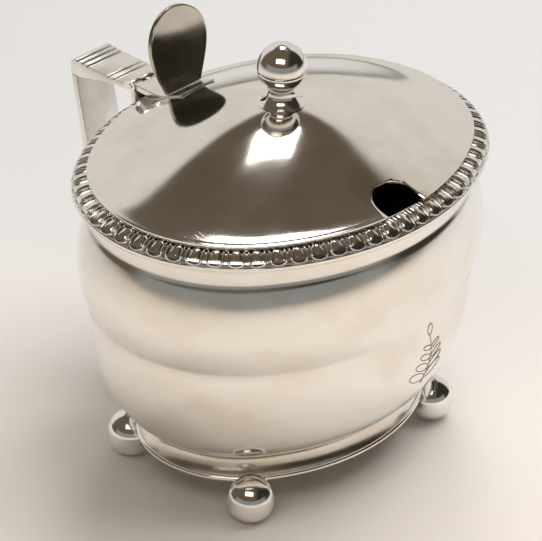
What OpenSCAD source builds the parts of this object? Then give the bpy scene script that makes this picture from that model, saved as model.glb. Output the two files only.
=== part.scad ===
// Silver covered table pot: an oval bowl on four ball feet, with a gadroon rim,
// a strap handle and a domed lid that is hinged over the handle.
// The oval's short axis runs from the handle (-X) to the spoon notch (+X).

/* [Bowl] */
// Half of the oval's long axis at the fullest part of the shoulder band
shoulder_half = 45.1; // [40:0.1:46]
// Half of the oval's long axis at the crease under the shoulder band
waist_half = 43; // [38:0.5:45]
// Half of the oval's long axis where the belly meets the base plate
base_half = 27.4; // [24:0.2:30]
// Unit of the oval's 3-4-5 layout: its arcs' centres lie 3 and 4 units from the middle
oval_unit = 4; // [3.5:0.5:4.5]
// Thickness of the raised silver sheet
sheet = 0.9; // [0.6:0.1:1.4]
// Height of the underside of the base plate
base_z = 12.6; // [11:0.2:15]
// Height of the crease between the belly and the shoulder band
waist_z = 39.5; // [34:0.5:44]
// Height of the crease between the shoulder band and the neck
neck_z = 59.7; // [56:0.1:61]
// Height of the upper edge of the bowl's sheet
mouth_z = 67.4; // [66:0.2:69]
// Fullness of the belly's curve: 2 is an ellipse
belly_power = 2.3; // [1.8:0.1:3]

/* [Rim] */
// Half of the oval's long axis at the outer lip of the gadroon border
rim_half = 46; // [45:0.1:48]
// Half of the oval's long axis at the plain neck under the border
neck_half = 42.35; // [40:0.05:43]

/* [Foot] */
// Half of the long axis at the collar's lower edge
collar_half = 32.9; // [31:0.1:35]
// Height of the collar's lower edge
collar_z = 8.8; // [8:0.1:10]
// Radius of each ball foot
ball_radius = 5; // [4:0.1:6]
// Distance of each ball foot from the oval's long axis
ball_x = 17.6; // [15:0.1:20]
// Distance of each ball foot from the oval's short axis
ball_y = 26.8; // [24:0.1:30]

/* [Lid] */
// Half of the lid's long axis
lid_half = 42.8; // [41:0.1:43.5]
// Height of the lid's underside at its edge
lid_z = 68.7; // [68:0.1:70]
// Rise of the dome above the lid's edge
dome_rise = 10.5; // [6:0.1:14]
// Thickness of the lid's sheet
lid_sheet_t = 0.8; // [0.5:0.05:1.2]
// How narrow the flat flange round the dome is: higher is narrower
flange_power = 10; // [6:1:16]
// Width of the spoon notch
notch_w = 10.2; // [8:0.2:12]
// Depth of the spoon notch from the lid's edge
notch_d = 7.2; // [5:0.2:9]

/* [Finial] */
// Radius of the ball finial
finial_radius = 5.1; // [4:0.1:6]
// Height of the ball finial's centre
finial_z = 87.9; // [85:0.1:92]
// Radius of the peg that holds the finial
peg_radius = 0.8; // [0.6:0.05:1.2]

/* [Hinge] */
// Distance of the hinge pin from the middle of the oval
hinge_x = 38.9; // [38:0.1:41]
// Height of the hinge pin
hinge_z = 70.25; // [69.8:0.05:71]
// Outer radius of the hinge barrel
barrel_radius = 1.25; // [1:0.05:1.5]
// Radius of the hinge pin
pin_radius = 0.5; // [0.4:0.02:0.6]
// Length of the whole hinge barrel
barrel_length = 10.4; // [9:0.1:12]
// Length of the lid's own knuckle
lid_knuckle_length = 3.2; // [2:0.1:5]

/* [Thumbpiece] */
// Height of the thumbpiece along its own slope
thumb_height = 18; // [14:0.5:24]
// Greatest width of the thumbpiece
thumb_width = 15.8; // [12:0.2:18]
// Width of the thumbpiece at its root
thumb_root = 9.8; // [8:0.2:12]
// Thickness of the thumbpiece
thumb_t = 1; // [0.8:0.1:1.6]
// Backward lean of the thumbpiece in degrees
thumb_lean = 10; // [0:1:14]
// Distance of the thumbpiece's root from the middle of the oval
thumb_x = 28.5; // [27:0.1:30]

/* [Handle] */
// Width of the handle strap
strap_width = 10; // [8:0.5:12]
// Distance of the handle's outer corner from the middle of the oval
handle_reach = 57.2; // [52:0.2:62]
// Thickness of the top bar at the hinge
bar_thin = 1.3; // [1:0.1:2]
// Thickness of the top bar at the outer corner
bar_thick = 3.8; // [3:0.1:4.5]
// Thickness of the leg
leg_t = 1.5; // [1.2:0.1:2]
// Height at which the leg meets the belly
pad_z = 23; // [20:0.5:30]

/* [Hidden] */
$fn = 96;

silver = [0.86, 0.85, 0.82];
dark_silver = [0.66, 0.64, 0.6];
pale_silver = [0.93, 0.92, 0.9];

// The oval has four tangent arcs, which meet on lines with a slope of 3 in 4. Every oval
// on the pot shares their centres, so its short half-axis is 2 units less than its long one.
end_centre = 3 * oval_unit;
side_centre = 4 * oval_unit;
narrowing = 2 * oval_unit;
join_angle = atan2(3, 4);
lid_side = lid_half - narrowing;

// The frame's origin is the middle of the whole pot's box on the table plane.
center_shift = (handle_reach - rim_half + narrowing) / 2;
barrel_gap = 0.08;
bore_gap = 0.05;
end_gap = 0.1;
bar_z = 70.1;
leg_top_z = bar_z - bar_thick;
bar_start = hinge_x + 2.1;
notch_corner = 4;
border_foot_z = 64.4;
edge_wire_radius = 0.55;
seam_z = finial_z - 0.7;
neck_top_z = finial_z - finial_radius + 0.55;
dome_top_z = lid_z + lid_sheet_t + dome_rise;

// Half-length of the belly at a share u of its depth below the waist.
function belly_half(u) = base_half + (waist_half - base_half) * pow(1 - pow(u, belly_power), 1 / belly_power);
// Half-length of the shoulder band, a shallow arch between its two creases.
function band_u(z) = (2 * z - waist_z - neck_z) / (neck_z - waist_z);
function band_half(z) = shoulder_half - (shoulder_half - waist_half) * pow(band_u(z), 2);
// Half-length of the plain neck, a slight cove up to the border's foot.
function neck_curve(z) = neck_half + 0.5 * pow(max(border_foot_z - z, 0) / (border_foot_z - neck_z), 2);
// Slope of the lid's upper face at a share u of the way out, before it is scaled to the rise.
function lid_slope(u) = (1 - pow(1 - u, 2.2)) * (1 - pow(u, flange_power));
function total(list, i = 0) = i < len(list) ? list[i] + total(list, i + 1) : 0;
function lid_fall(u) = u / 24 * total([for (i = [0:23]) lid_slope(u * (i + 0.5) / 24)]);
// Height of the lid's upper face on the oval with a given half-length.
function lid_top(r) = lid_z + lid_sheet_t + dome_rise * (1 - lid_fall(min(r / lid_half, 1)) / lid_fall(1));
// The same height along the line from the hinge to the notch.
function lid_top_at(x) = lid_top(abs(x) / lid_side * lid_half);
function bezier(a, b, c, d, t) = pow(1 - t, 3) * a + 3 * pow(1 - t, 2) * t * b
    + 3 * (1 - t) * t * t * c + pow(t, 3) * d;
function unit(v) = v / norm(v);
function left_of(v) = [-v[1], v[0]];

belly_depth = waist_z - base_z;
belly_outer = [for (a = [90:-6:0]) let (u = pow(sin(a), 0.8)) [belly_half(u), waist_z - belly_depth * u]];
belly_inner = [for (a = [90:-6:0]) let (u = pow(sin(a), 0.8))
    [max(belly_half(u) - sheet, base_half), waist_z - (belly_depth - sheet) * u]];
band_steps = [for (i = [1:11]) waist_z + (neck_z - waist_z) * i / 12];
band_outer = [for (z = band_steps) [band_half(z), z]];
band_inner = [for (z = band_steps) [band_half(z) - sheet, z]];
neck_steps = [for (i = [0:4]) neck_z + (border_foot_z - neck_z) * i / 4];
neck_outer = [for (z = neck_steps) [neck_curve(z), z]];
neck_inner = [for (z = neck_steps) [neck_curve(z) - sheet, z]];
function reversed(list) = [for (i = [len(list) - 1:-1:0]) list[i]];

leg_start = [-handle_reach + 0.1 + leg_t / 2, leg_top_z];
pad_half = belly_half((waist_z - pad_z) / belly_depth);
pad_tilt = 18;
pad_t = 1.2;
pad_inner = [narrowing - pad_half, pad_z];
pad_normal = [-cos(pad_tilt), -sin(pad_tilt)];
leg_end = pad_inner + (pad_t + 0.02) * pad_normal;
function leg_point(t) = bezier(leg_start, [-53, 48], leg_end + 15 * pad_normal, leg_end, t);

// A point on the outline of the oval with the given half-length, where its normal has angle a.
function oval_point(half, a) = let (side = abs(sin(a)) < sin(join_angle))
    [(side ? -sign(cos(a)) * side_centre : 0) + (half - (side ? narrowing - side_centre : end_centre)) * cos(a),
    (side ? 0 : sign(sin(a)) * end_centre) + (half - (side ? narrowing - side_centre : end_centre)) * sin(a)];

// Sweeps a profile in (half-length, height) round the four arcs of the oval.
module oval_ring() {
    far = 20 * oval_unit;
    for (side = [-1, 1]) {
        intersection() {
            translate([-side * side_centre, 0, 0]) rotate_extrude()
                translate([side_centre - narrowing, 0]) children();
            linear_extrude(100) polygon([[-side * side_centre, 0],
                [side * (far - side_centre), 0.75 * far], [side * (far - side_centre), -0.75 * far]]);
        }
        intersection() {
            translate([0, side * end_centre, 0]) rotate_extrude() translate([-end_centre, 0]) children();
            linear_extrude(100) polygon([[0, side * end_centre],
                [far, side * (end_centre + 0.75 * far)], [-far, side * (end_centre + 0.75 * far)]]);
        }
    }
}

// A flat oval disc that stands on z = 0.
module oval_disc(half, height) {
    side_radius = half - narrowing + side_centre;
    join_y = side_radius * sin(join_angle);
    intersection() {
        translate([-side_centre, 0, 0]) cylinder(h = height, r = side_radius);
        translate([side_centre, 0, 0]) cylinder(h = height, r = side_radius);
        translate([-half, -join_y, 0]) cube([2 * half, 2 * join_y, height]);
    }
    for (side = [-1, 1])
        translate([0, side * end_centre, 0]) cylinder(h = height, r = half - end_centre);
}

// A profile drawn in (x, z) and given a width along Y.
module slab(width) {
    translate([0, width / 2, 0]) rotate([90, 0, 0]) linear_extrude(width) children();
}

module in_frame() {
    translate([center_shift, 0, 0]) children();
}

module bowl_shell() {
    color(silver) in_frame() oval_ring() polygon(concat(
        belly_outer, band_outer, neck_outer, [[neck_half, mouth_z], [neck_half - sheet, mouth_z]],
        reversed(neck_inner), reversed(band_inner), reversed(belly_inner)));
}

module base_plate() {
    color(dark_silver) in_frame() translate([0, 0, base_z]) oval_disc(base_half, sheet);
}

module gadroon_border() {
    crest = [neck_half - 0.1, 68.55];
    lip = [rim_half, 66];
    bow = [for (a = [0:15:90]) [crest[0] + (lip[0] - crest[0]) * sin(a), lip[1] + (crest[1] - lip[1]) * cos(a)]];
    color(pale_silver) in_frame() oval_ring() polygon(concat(
        [[neck_half, border_foot_z], [neck_half, mouth_z], [neck_half - sheet, mouth_z],
        [neck_half - sheet, crest[1] - 0.2]], bow,
        [[lip[0], lip[1] - 0.45], [lip[0] - 0.7, border_foot_z + 0.3]]));
}

module mouth_bezel() {
    outer = neck_half - sheet;
    color(silver) in_frame() oval_ring() polygon([[outer, mouth_z - 2.6], [outer, mouth_z],
        [outer - 0.45, mouth_z], [outer - 0.8, mouth_z - 0.4], [outer - 0.8, mouth_z - 2.3]]);
}

module foot_collar() {
    top = 28.6;
    reach = collar_half - top;
    drop = base_z - collar_z;
    outer = [for (a = [0:9:81]) [top + reach * (1 - cos(a)) / (1 - cos(81)), base_z - drop * sin(a) / sin(81)]];
    inner = [for (p = outer) [p[0] - 0.75, p[1] - 0.25]];
    color(dark_silver) in_frame() oval_ring()
        polygon(concat([[top - 1.2, base_z]], outer, reversed(inner), [[top - 1.2, base_z - 0.25]]));
}

module collar_edge_wire() {
    color(pale_silver) in_frame() oval_ring()
        translate([collar_half + edge_wire_radius, collar_z - 0.12]) circle(edge_wire_radius, $fn = 32);
}

module ball_foot(side_x, side_y) {
    seat_half = collar_half + 2 * edge_wire_radius + 0.02;
    color(pale_silver) in_frame() difference() {
        translate([side_x * ball_x, side_y * ball_y, ball_radius - 0.1]) sphere(ball_radius);
        translate([0, 0, -1]) linear_extrude(1) square(100, center = true);
        translate([0, 0, collar_z - 0.12 - edge_wire_radius - 0.02]) oval_disc(seat_half, 5);
    }
}

module hinge_upright() {
    foot_x = shoulder_half - narrowing;
    color(silver) in_frame() slab(9) polygon([
        [-hinge_x - 0.5, hinge_z - barrel_radius - 0.02], [-hinge_x + 0.7, hinge_z - barrel_radius - 0.02],
        [-hinge_x + 0.7, 59.6], [-foot_x + 1.5, 58.6], [-foot_x + 1.05, 57.2], [-hinge_x - 0.5, 58.8]]);
}

module handle_top_bar() {
    corner = -handle_reach;
    start = -bar_start;
    color(silver) in_frame() difference() {
        slab(strap_width) polygon([[start, bar_z - 0.1], [start - 8, bar_z - 0.3], [corner + 0.8, bar_z],
            [corner, bar_z - 0.8], [corner, leg_top_z], [corner + 3, leg_top_z],
            [start - 3, bar_z - 0.1 - bar_thin], [start, bar_z - 0.1 - bar_thin]]);
        for (x = [corner + 2.2, corner + 3.7, corner + 5.2, start - 3.6, start - 2.1])
            translate([x, 0, bar_z + 0.15]) rotate([90, 0, 0])
                cylinder(h = strap_width + 2, r = 0.55, center = true, $fn = 32);
    }
}

module handle_leg() {
    steps = 18;
    centre = [for (i = [0:steps]) leg_point(i / steps)];
    heading = [for (i = [0:steps]) i == 0 ? [0, -1] : i == steps ? -pad_normal
        : unit(centre[i + 1] - centre[i - 1])];
    one = [for (i = [0:steps]) centre[i] + left_of(heading[i]) * leg_t / 2];
    two = [for (i = [0:steps]) centre[i] - left_of(heading[i]) * leg_t / 2];
    color(silver) in_frame() slab(strap_width) polygon(concat(one, reversed(two)));
}

module handle_pad() {
    color(silver) in_frame() translate([pad_inner[0], 0, pad_inner[1]])
        rotate([0, -90 - pad_tilt, 0]) cylinder(h = pad_t, r1 = 5.6, r2 = 5.1);
}

module knuckle(low_y, high_y, bore) {
    translate([-hinge_x, high_y, hinge_z]) rotate([90, 0, 0]) difference() {
        union() {
            cylinder(h = high_y - low_y, r = barrel_radius, $fn = 48);
            children();
        }
        translate([0, 0, -1]) cylinder(h = high_y - low_y + 2, r = bore, $fn = 48);
    }
}

module outer_knuckle(low_y, high_y) {
    color(pale_silver) in_frame() knuckle(low_y, high_y, pin_radius + 0.01)
        translate([-2.1, -1.25, 0]) cube([1.6, 1.1, high_y - low_y]);
}

module hinge_pin() {
    color(dark_silver) in_frame() translate([-hinge_x, 0, hinge_z]) rotate([90, 0, 0])
        cylinder(h = barrel_length + 0.5, r = pin_radius, center = true, $fn = 48);
}

// A closed sheet over similar ovals: the upper face from the edge to the middle, then the underside back.
module lid_dome(sides, rings) {
    share = [for (i = [0:rings]) 1 - (1 - (peg_radius + 0.05) / lid_side) * i / rings];
    face = concat([for (s = share) [s, lid_top(s * lid_half)]],
        [for (i = [rings:-1:0]) [share[i], lid_top(share[i] * lid_half) - lid_sheet_t]]);
    levels = len(face);
    points = [for (f = face, k = [0:sides - 1]) let (p = oval_point(lid_half, 360 * (k + 0.5) / sides))
        [f[0] * p[0], f[0] * p[1], f[1]]];
    faces = [for (j = [0:levels - 1], k = [0:sides - 1]) let (n = (j + 1) % levels, m = (k + 1) % sides)
        [j * sides + k, n * sides + k, n * sides + m, j * sides + m]];
    polyhedron(points, faces, convexity = 4);
}

module lid_sheet() {
    notch_x = lid_side - notch_d;
    color(silver) in_frame() difference() {
        lid_dome(64, 18);
        translate([notch_x + notch_corner, -notch_w / 2, lid_z - 5]) cube([20, notch_w, 20]);
        translate([notch_x, -notch_w / 2 + notch_corner, lid_z - 5])
            cube([20, notch_w - 2 * notch_corner, 20]);
        for (s = [-1, 1]) translate([notch_x + notch_corner, s * (notch_w / 2 - notch_corner), lid_z - 5])
            cylinder(h = 20, r = notch_corner, $fn = 48);
    }
}

module hinge_leaf() {
    back = -hinge_x + barrel_radius + end_gap;
    tip = -24.3;
    edge = -lid_side;
    seat = [for (i = [0:6]) let (x = tip + (edge - tip) * i / 6) [x, lid_top_at(x) + 0.03]];
    crown = [for (i = [0:6]) let (x = tip + (edge - tip) * i / 6)
        [x, max(hinge_z + 0.75, lid_top_at(x) + 0.7)]];
    color(pale_silver) in_frame() slab(barrel_length - 0.6) polygon(concat(seat,
        [[back, hinge_z - 0.55], [back, hinge_z + 0.75]], reversed(crown)));
}

module lid_knuckle() {
    half = lid_knuckle_length / 2 - barrel_gap;
    color(pale_silver) in_frame() knuckle(-half, half, pin_radius + bore_gap)
        translate([0.6, -0.55, 0]) cube([barrel_radius + end_gap - 0.6, 1.3, 2 * half]);
}

// Half-width of the thumbpiece at a share u of its height: narrow root, full round head.
function thumb_half(u) = u < 0.6
    ? thumb_root / 2 + (thumb_width - thumb_root) / 2 * (0.5 - 0.5 * cos(180 * u / 0.6))
    : thumb_width / 2 * sqrt(max(1 - pow((u - 0.6) / 0.4, 2), 0));

module thumbpiece() {
    foot_z = max(hinge_z + 0.75, lid_top_at(thumb_x) + 0.7) + 0.12;
    levels = concat([for (i = [0:9]) 0.6 * i / 10], [for (a = [0:9:81]) 0.6 + 0.4 * sin(a)]);
    right = [for (u = levels) [thumb_half(u), thumb_height * u]];
    left = [for (p = reversed(right)) [-p[0], p[1]]];
    color(dark_silver) in_frame() translate([-thumb_x, 0, foot_z]) rotate([0, -thumb_lean, 0])
        rotate([90, 0, 90]) translate([0, 0, -thumb_t / 2])
        linear_extrude(thumb_t) polygon(concat(right, [[0, thumb_height]], left));
}

module finial_neck() {
    low = dome_top_z + 0.02;
    flare = [for (i = [0:8]) let (u = i / 8) [3.2 + 1.5 * pow(1 - u, 3), low + 0.25 + (neck_top_z - low - 0.35) * u]];
    color(silver) in_frame() rotate_extrude() polygon(concat([[peg_radius + 0.02, low], [4.7, low]], flare,
        [[3.0, neck_top_z - 0.02], [peg_radius + 0.02, neck_top_z - 0.02]]));
}

module finial_half(upper) {
    color(pale_silver) in_frame() difference() {
        intersection() {
            translate([0, 0, finial_z]) sphere(finial_radius);
            translate([-10, -10, upper ? seam_z + 0.01 : neck_top_z]) cube([20, 20, upper ? 20 : seam_z - neck_top_z]);
        }
        translate([0, 0, finial_z]) sphere(finial_radius - 0.8);
        translate([0, 0, neck_top_z - 5]) cylinder(h = 7, r = peg_radius + 0.02, $fn = 48);
    }
}

module finial_peg() {
    low = dome_top_z - lid_sheet_t - 0.7;
    color(dark_silver) in_frame() rotate_extrude() polygon([[0, low], [1.9, low], [2.1, low + 0.35],
        [2.1, low + 0.55], [peg_radius, low + 0.55], [peg_radius, neck_top_z + 1], [0, neck_top_z + 1]]);
}

bowl_shell();
base_plate();
gadroon_border();
mouth_bezel();
foot_collar();
collar_edge_wire();
ball_foot(1, 1);  // ball_foot_notch_left
ball_foot(1, -1);  // ball_foot_notch_right
ball_foot(-1, 1);  // ball_foot_handle_left
ball_foot(-1, -1);  // ball_foot_handle_right
hinge_upright();
handle_top_bar();
handle_leg();
handle_pad();
outer_knuckle(lid_knuckle_length / 2, barrel_length / 2);  // outer_knuckle_left
outer_knuckle(-barrel_length / 2, -lid_knuckle_length / 2);  // outer_knuckle_right
hinge_pin();
lid_sheet();
hinge_leaf();
lid_knuckle();
thumbpiece();
finial_neck();
finial_half(false);  // finial_ball_lower
finial_half(true);  // finial_ball_upper
finial_peg();
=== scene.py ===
"""Visual model of an oval silver table pot with a hinged lid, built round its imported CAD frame."""

import logging
import math
from dataclasses import dataclass, field
from enum import Enum

import bpy
from mathutils import Matrix, Vector


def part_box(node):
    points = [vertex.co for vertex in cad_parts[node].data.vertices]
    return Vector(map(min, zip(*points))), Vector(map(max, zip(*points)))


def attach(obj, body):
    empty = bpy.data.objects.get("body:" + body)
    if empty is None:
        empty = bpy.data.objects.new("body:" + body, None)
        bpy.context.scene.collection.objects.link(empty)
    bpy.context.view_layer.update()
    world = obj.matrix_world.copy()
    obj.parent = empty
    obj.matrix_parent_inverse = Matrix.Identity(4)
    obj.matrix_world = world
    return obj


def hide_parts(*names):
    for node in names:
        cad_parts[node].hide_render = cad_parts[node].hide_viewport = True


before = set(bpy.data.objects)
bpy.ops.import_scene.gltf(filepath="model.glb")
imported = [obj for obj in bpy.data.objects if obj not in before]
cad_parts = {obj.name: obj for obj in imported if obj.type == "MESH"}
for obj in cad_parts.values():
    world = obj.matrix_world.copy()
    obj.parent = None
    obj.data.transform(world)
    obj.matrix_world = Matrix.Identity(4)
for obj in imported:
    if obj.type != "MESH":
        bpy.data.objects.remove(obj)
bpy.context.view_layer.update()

MM = 0.001
LOG = logging.getLogger("table_pot")

Colour = tuple[float, float, float]
Profile = list[tuple[float, float]]

# The oval is a 3-4-5 layout of four tangent arcs that share their centres at every level.
OVAL_UNIT = 4.0
END_CENTRE = 3 * OVAL_UNIT
SIDE_CENTRE = 4 * OVAL_UNIT
NARROWING = 2 * OVAL_UNIT
JOIN_ANGLE = math.atan2(3, 4)
END_STEPS = 60
SIDE_STEPS = 44


class Body(Enum):
    """The two rigid bodies of the pot."""

    POT = "pot"
    LID = "lid"


class Slot(Enum):
    """The record's material slots."""

    SHEET = "silver_body"
    TRIM = "silver_trim"
    HIDDEN = "silver_hidden"


class Lay(Enum):
    """Which way the polishing marks of a finish run."""

    LEVEL = "level"
    CROSSED = "crossed"


def oval_middle() -> Vector:
    """Returns the middle of the oval on the table plane, in millimetres, from the bowl's own box."""
    low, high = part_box("bowl_shell")
    return Vector(((low.x + high.x) / 2 / MM, (low.y + high.y) / 2 / MM, 0.0))


MIDDLE = oval_middle()


def arc_of(normal_angle: float) -> tuple[Vector, float]:
    """Finds the oval's arc on which the outward normal has a given angle.

    Args:
        normal_angle: Angle of the outward normal from +X, in radians.

    Returns:
        The arc's centre from the oval's middle, and what its radius lacks to the half-length.
    """
    if abs(math.sin(normal_angle)) < math.sin(JOIN_ANGLE):
        return Vector((-math.copysign(SIDE_CENTRE, math.cos(normal_angle)), 0.0, 0.0)), NARROWING - SIDE_CENTRE
    return Vector((0.0, math.copysign(END_CENTRE, math.sin(normal_angle)), 0.0)), END_CENTRE


def oval_point(half: float, normal_angle: float, height: float) -> Vector:
    """Places a point on an oval.

    Args:
        half: Half of the oval's long axis, in millimetres.
        normal_angle: Angle of the outward normal there, in radians.
        height: Height above the table, in millimetres.

    Returns:
        The point in the row frame, in millimetres.
    """
    centre, lack = arc_of(normal_angle)
    out = Vector((math.cos(normal_angle), math.sin(normal_angle), 0.0)) * (half - lack)
    return MIDDLE + centre + out + Vector((0.0, 0.0, height))


def arc_runs(half: float) -> tuple[tuple[float, float], tuple[float, float]]:
    """Measures the arcs that an oval is made of.

    Args:
        half: Half of the oval's long axis, in millimetres.

    Returns:
        Radius and angle of a side arc, and of an end arc.
    """
    return (half - NARROWING + SIDE_CENTRE, 2 * JOIN_ANGLE), (half - END_CENTRE, math.pi - 2 * JOIN_ANGLE)


def perimeter(half: float) -> float:
    """Returns the length of the way round an oval, in millimetres."""
    return 2 * sum(radius * angle for radius, angle in arc_runs(half))


def normal_at_length(share: float, half: float) -> float:
    """Turns a share of the way round an oval, by length from +X, into the normal's angle there.

    Args:
        share: Share of the perimeter, from 0 to 1.
        half: Half of the oval's long axis, in millimetres.

    Returns:
        The angle of the outward normal, in radians.
    """
    runs = arc_runs(half)
    length = (share % 1.0) * perimeter(half) + runs[0][0] * JOIN_ANGLE
    start = -JOIN_ANGLE
    while True:
        for radius, angle in runs:
            if length <= radius * angle:
                return start + length / radius
            length -= radius * angle
            start += angle


class Bench:
    """Modelling moves that the sub-assemblies share, each made with Blender's own operators."""

    @staticmethod
    def clear() -> None:
        """Leaves edit mode and deselects everything."""
        if bpy.context.object and bpy.context.object.mode != "OBJECT":
            bpy.ops.object.mode_set(mode="OBJECT")
        bpy.ops.object.select_all(action="DESELECT")

    @staticmethod
    def edit() -> None:
        """Enters edit mode with everything selected."""
        bpy.ops.object.mode_set(mode="EDIT")
        bpy.ops.mesh.select_all(action="SELECT")

    @classmethod
    def only(cls, obj: bpy.types.Object) -> None:
        """Makes one object the only selected and active one."""
        cls.clear()
        obj.select_set(True)
        bpy.context.view_layer.objects.active = obj

    @staticmethod
    def linked(name: str, data: bpy.types.ID) -> bpy.types.Object:
        """Puts an object with the given data in the scene.

        Args:
            name: Name of the object.
            data: Its mesh, light or camera.

        Returns:
            The object.
        """
        obj = bpy.data.objects.new(name, data)
        bpy.context.scene.collection.objects.link(obj)
        return obj

    @classmethod
    def start_point(cls, name: str, point: Vector) -> bpy.types.Object:
        """Starts a mesh with a single selected vertex, in edit mode.

        Args:
            name: Name of the new object.
            point: Where the vertex goes, in millimetres.

        Returns:
            The object, in edit mode.
        """
        cls.clear()
        bpy.ops.mesh.primitive_circle_add(vertices=3, radius=MM, location=(0, 0, 0))
        obj = bpy.context.object
        obj.name = name
        obj.data.name = name
        cls.edit()
        bpy.ops.mesh.merge(type="CENTER")
        bpy.ops.transform.translate(value=point * MM)
        return obj

    @classmethod
    def trace(cls, name: str, points: list[Vector], closed: bool) -> bpy.types.Object:
        """Draws a chain of edges through points by extruding a vertex.

        Args:
            name: Name of the new object.
            points: The points, in millimetres.
            closed: Whether the last point is joined to the first.

        Returns:
            The object, in edit mode with the whole chain selected.
        """
        obj = cls.start_point(name, points[0])
        for last, point in zip(points, points[1:]):
            move = (point - last) * MM
            bpy.ops.mesh.extrude_region_move(TRANSFORM_OT_translate={"value": move})
        if closed:
            bpy.ops.object.mode_set(mode="OBJECT")
            for vertex in obj.data.vertices:
                vertex.select = vertex.index in (0, len(points) - 1)
            bpy.ops.object.mode_set(mode="EDIT")
            bpy.ops.mesh.edge_face_add()
        bpy.ops.mesh.select_all(action="SELECT")
        return obj

    @classmethod
    def sweep_oval(cls, name: str, outline: Profile, degrees: float) -> bpy.types.Object:
        """Sweeps a closed outline round the oval, with one spin for each of its four arcs.

        Args:
            name: Name of the new object.
            outline: Points as (half-length, height), in millimetres.
            degrees: Angle between faces above which an edge stays sharp.

        Returns:
            The finished object.
        """
        just_past_join = JOIN_ANGLE + 1e-6
        obj = cls.trace(name, [oval_point(half, just_past_join, height) for half, height in outline], closed=True)
        for side in (1, -1):
            for centre, angle, steps in (
                (Vector((0, side * END_CENTRE, 0)), math.pi - 2 * JOIN_ANGLE, END_STEPS),
                (Vector((side * SIDE_CENTRE, 0, 0)), 2 * JOIN_ANGLE, SIDE_STEPS),
            ):
                bpy.ops.mesh.spin(steps=steps, angle=angle, center=(MIDDLE + centre) * MM, axis=(0, 0, -1))
        cls.finish(obj, degrees)
        return obj

    @staticmethod
    def close(obj: bpy.types.Object, merge: float = 0.004) -> None:
        """Merges doubles, turns all faces outwards and leaves edit mode.

        Args:
            obj: The object in edit mode.
            merge: Distance within which points merge, in millimetres.
        """
        bpy.context.view_layer.objects.active = obj
        Bench.edit()
        bpy.ops.mesh.remove_doubles(threshold=merge * MM)
        bpy.ops.mesh.normals_make_consistent(inside=False)
        bpy.ops.object.mode_set(mode="OBJECT")

    @classmethod
    def smooth(cls, obj: bpy.types.Object, degrees: float = 40.0) -> None:
        """Shades an object smooth, with sharp edges above an angle.

        Args:
            obj: The object.
            degrees: Angle between faces above which an edge stays sharp.
        """
        cls.only(obj)
        bpy.ops.object.shade_smooth_by_angle(angle=math.radians(degrees))

    @classmethod
    def finish(cls, obj: bpy.types.Object, degrees: float, merge: float = 0.004) -> None:
        """Closes an object and shades it smooth.

        Args:
            obj: The object in edit mode.
            degrees: Angle between faces above which an edge stays sharp.
            merge: Distance within which points merge, in millimetres.
        """
        cls.close(obj, merge)
        cls.smooth(obj, degrees)

    @classmethod
    def bevel(cls, obj: bpy.types.Object, width: float, segments: int = 3, degrees: float = 30.0) -> None:
        """Rounds an object's sharp edges with a bevel modifier and applies it.

        Args:
            obj: The object.
            width: Width of the bevel, in millimetres.
            segments: Number of steps across the bevel.
            degrees: Angle between faces above which an edge is rounded.
        """
        cls.only(obj)
        modifier = obj.modifiers.new("round_edges", "BEVEL")
        modifier.width = width * MM
        modifier.segments = segments
        modifier.limit_method = "ANGLE"
        modifier.angle_limit = math.radians(degrees)
        bpy.ops.object.modifier_apply(modifier=modifier.name)

    @classmethod
    def subdivide(cls, obj: bpy.types.Object) -> None:
        """Smooths an object with one level of subdivision surface and applies it."""
        cls.only(obj)
        modifier = obj.modifiers.new("smooth_form", "SUBSURF")
        modifier.levels = 1
        bpy.ops.object.modifier_apply(modifier=modifier.name)

    @classmethod
    def thicken(cls, obj: bpy.types.Object, thickness: float, offset: float, even: bool) -> None:
        """Gives an open sheet its thickness with a solidify modifier and applies it.

        Args:
            obj: The object.
            thickness: Thickness of the sheet, in millimetres.
            offset: Which side grows: -1 the back, 0 both.
            even: Whether the thickness is kept even round bends.
        """
        cls.only(obj)
        modifier = obj.modifiers.new("sheet_thickness", "SOLIDIFY")
        modifier.thickness = thickness * MM
        modifier.offset = offset
        modifier.use_even_offset = even
        bpy.ops.object.modifier_apply(modifier=modifier.name)

    @classmethod
    def rounded_plate(cls, name: str, size: tuple[float, float], middle: Vector,
                      toward: Vector, corner: float, segments: int) -> bpy.types.Object:
        """Lays a flat rectangle and rounds its two corners on one side.

        Args:
            name: Name of the new object.
            size: Width along X and length along Y, in millimetres.
            middle: Its middle, in millimetres.
            toward: Direction from its middle to the side that is rounded.
            corner: Radius of the two corners, in millimetres.
            segments: Number of steps round each corner.

        Returns:
            The object, in edit mode with everything selected.
        """
        cls.clear()
        bpy.ops.mesh.primitive_plane_add(size=MM, location=(0, 0, 0))
        plate = bpy.context.object
        plate.name = name
        bpy.ops.object.mode_set(mode="EDIT")
        bpy.ops.transform.resize(value=(*size, 1))
        bpy.ops.transform.translate(value=middle * MM)
        bpy.ops.object.mode_set(mode="OBJECT")
        for vertex in plate.data.vertices:
            vertex.select = (vertex.co - middle * MM).dot(toward) > 0
        bpy.ops.object.mode_set(mode="EDIT")
        bpy.ops.mesh.bevel(offset=corner * MM, segments=segments, affect="VERTICES")
        bpy.ops.mesh.select_all(action="SELECT")
        return plate

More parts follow.
